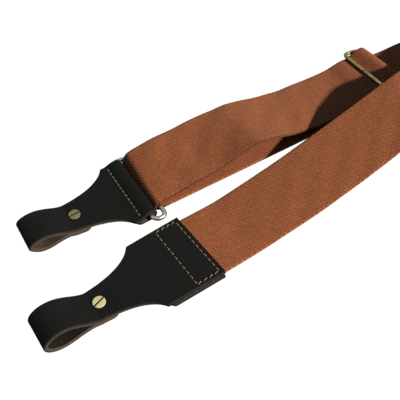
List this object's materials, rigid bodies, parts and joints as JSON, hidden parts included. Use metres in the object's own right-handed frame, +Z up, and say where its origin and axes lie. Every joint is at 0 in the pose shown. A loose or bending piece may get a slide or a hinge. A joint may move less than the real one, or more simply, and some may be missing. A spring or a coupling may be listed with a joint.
{
  "type": "adjustable webbing suspender strap",
  "caption": "Wide webbing strap laid as a hairpin, with a wire adjuster and a black leather belt-loop end on each end, one sewn on and one hung on a wire ring",
  "frame": {"origin": "on the resting surface, under the middle of the laid-out strap", "axes": "+X along the strap from the leather ends to the turn-round, +Z up"},
  "size_m": [0.5192, 0.1228, 0.0356],
  "materials": {
    "leather": "smooth black bridle leather, brown raw edges and flesh side",
    "webbing": "rust brown twill cotton webbing, matt",
    "thread": "tan waxed sewing thread",
    "bright_brass": "polished pale brass",
    "aged_brass": "duller antique brass",
    "wire": "antique brass plated steel wire"
  },
  "bodies": {
    "strap": {"front_leather": "leather", "front_backing_leather": "leather", "front_box_stitch": "thread", "webbing_front_leg": "webbing", "webbing_turn": "webbing", "webbing_back_leg": "webbing", "webbing_upper_run": "webbing", "webbing_lower_run": "webbing", "webbing_ring_wrap": "webbing"},
    "front_post": {"front_screw_post": "bright_brass"},
    "front_screw": {"front_screw": "bright_brass"},
    "ring": {"ring": "wire"},
    "back_end": {"back_leather": "leather", "back_stitch_line": "thread"},
    "back_post": {"back_screw_post": "aged_brass"},
    "back_screw": {"back_screw": "aged_brass"},
    "adjuster": {"slider": "wire", "webbing_sewn_end": "webbing", "sewn_end_thread": "thread", "webbing_hump": "webbing"}
  },
  "joints": [
    {"name": "front_screw_turn", "type": "hinge", "parent": "strap", "child": "front_post", "pos_m": [-0.21948, -0.03652, 0.00601], "axis": [0, 0, 1], "range_deg": [0, 1800]},
    {"name": "front_screw_rise", "type": "slide", "parent": "front_post", "child": "front_screw", "axis": [0, 0, 1], "range_m": [0, 0.0035]},
    {"name": "ring_swing", "type": "hinge", "parent": "strap", "child": "ring", "pos_m": [-0.1495, 0.02899, 0.00421], "axis": [0.0349, 0.9994, 0], "range_deg": [0, 40]},
    {"name": "back_end_swing", "type": "hinge", "parent": "ring", "child": "back_end", "pos_m": [-0.1587, 0.02932, 0.00486], "axis": [0.0349, 0.9994, 0], "range_deg": [-15, 90]},
    {"name": "back_screw_turn", "type": "hinge", "parent": "back_end", "child": "back_post", "pos_m": [-0.20276, 0.03065, 0.00601], "axis": [0, 0, 1], "range_deg": [0, 1800]},
    {"name": "back_screw_rise", "type": "slide", "parent": "back_post", "child": "back_screw", "axis": [0, 0, 1], "range_m": [0, 0.0035]},
    {"name": "adjuster_slide", "type": "slide", "parent": "strap", "child": "adjuster", "axis": [0.9994, -0.0349, 0], "range_m": [-0.08, 0.1], "deforming": ["webbing_upper_run", "webbing_lower_run", "webbing_back_leg"]}
  ],
  "couplings": [
    {"joint": "front_screw_turn", "follows": "front_screw_rise", "rad_per_m": 8975.9},
    {"joint": "back_screw_turn", "follows": "back_screw_rise", "rad_per_m": 8975.9}
  ]
}
